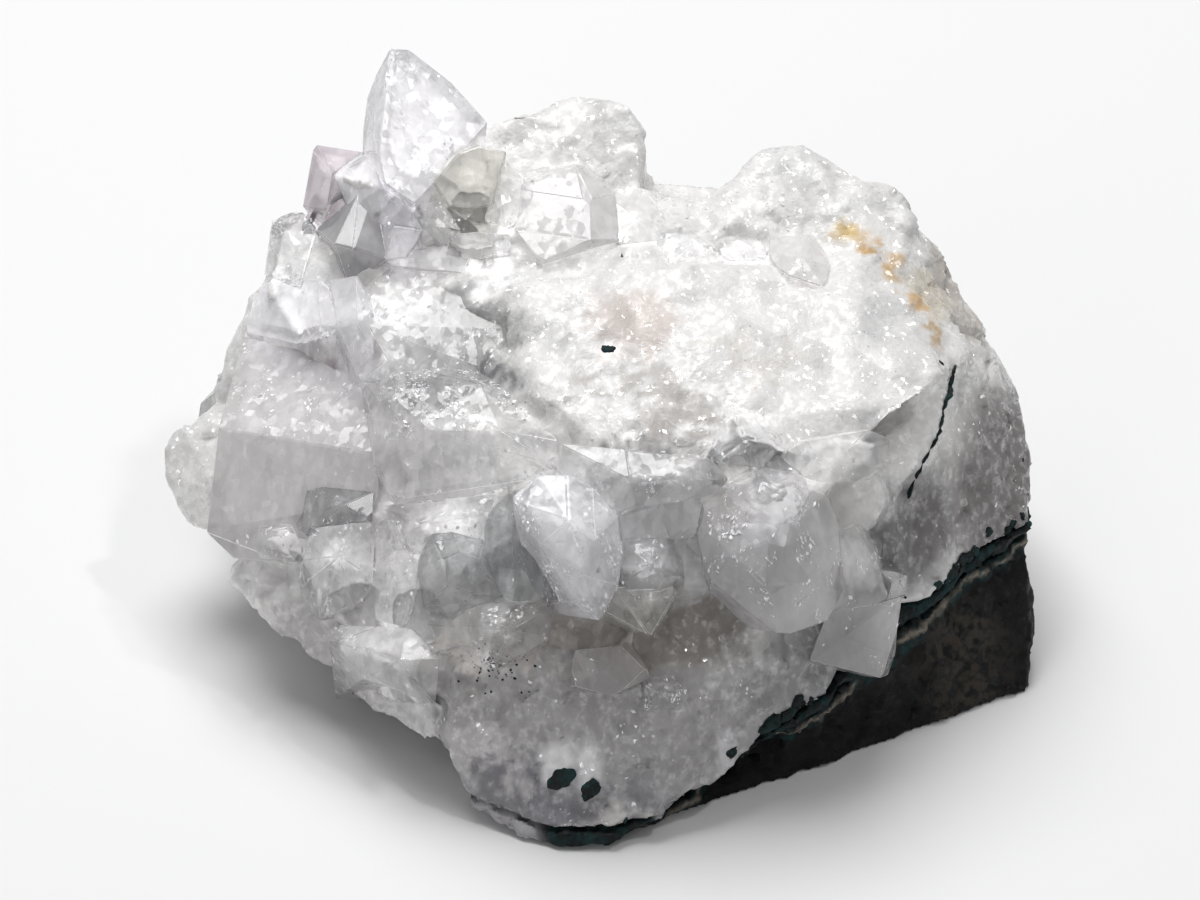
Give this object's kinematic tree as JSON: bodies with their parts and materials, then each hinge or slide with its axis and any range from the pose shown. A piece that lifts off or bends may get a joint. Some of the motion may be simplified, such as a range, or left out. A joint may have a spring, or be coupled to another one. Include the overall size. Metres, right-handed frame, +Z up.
{
  "type": "apophyllite cluster",
  "caption": "Mineral specimen: clear to milky blocky and pointed crystals on a white crystalline ledge, over a dark green rind and a wedge of basalt, resting on a flat.",
  "frame": {"origin": "middle of the flat that the basalt rests on, on the surface it stands on", "axes": "+Z up, away from the surface it rests on; +X to the right as seen from the front, along the longest side; the front, where the ledge and the points face the viewer, is -Y"},
  "size_m": [0.0879, 0.0747, 0.0537],
  "materials": {
    "crystal_mass": "milky crystal with clear, glassy faces",
    "green_rind": "rough, dark green clay-like rind",
    "basalt_matrix": "rough broken basalt"
  },
  "bodies": {
    "root": {"crystal_mass": "crystal_mass", "green_rind": "green_rind", "basalt_matrix": "basalt_matrix"}
  },
  "joints": []
}
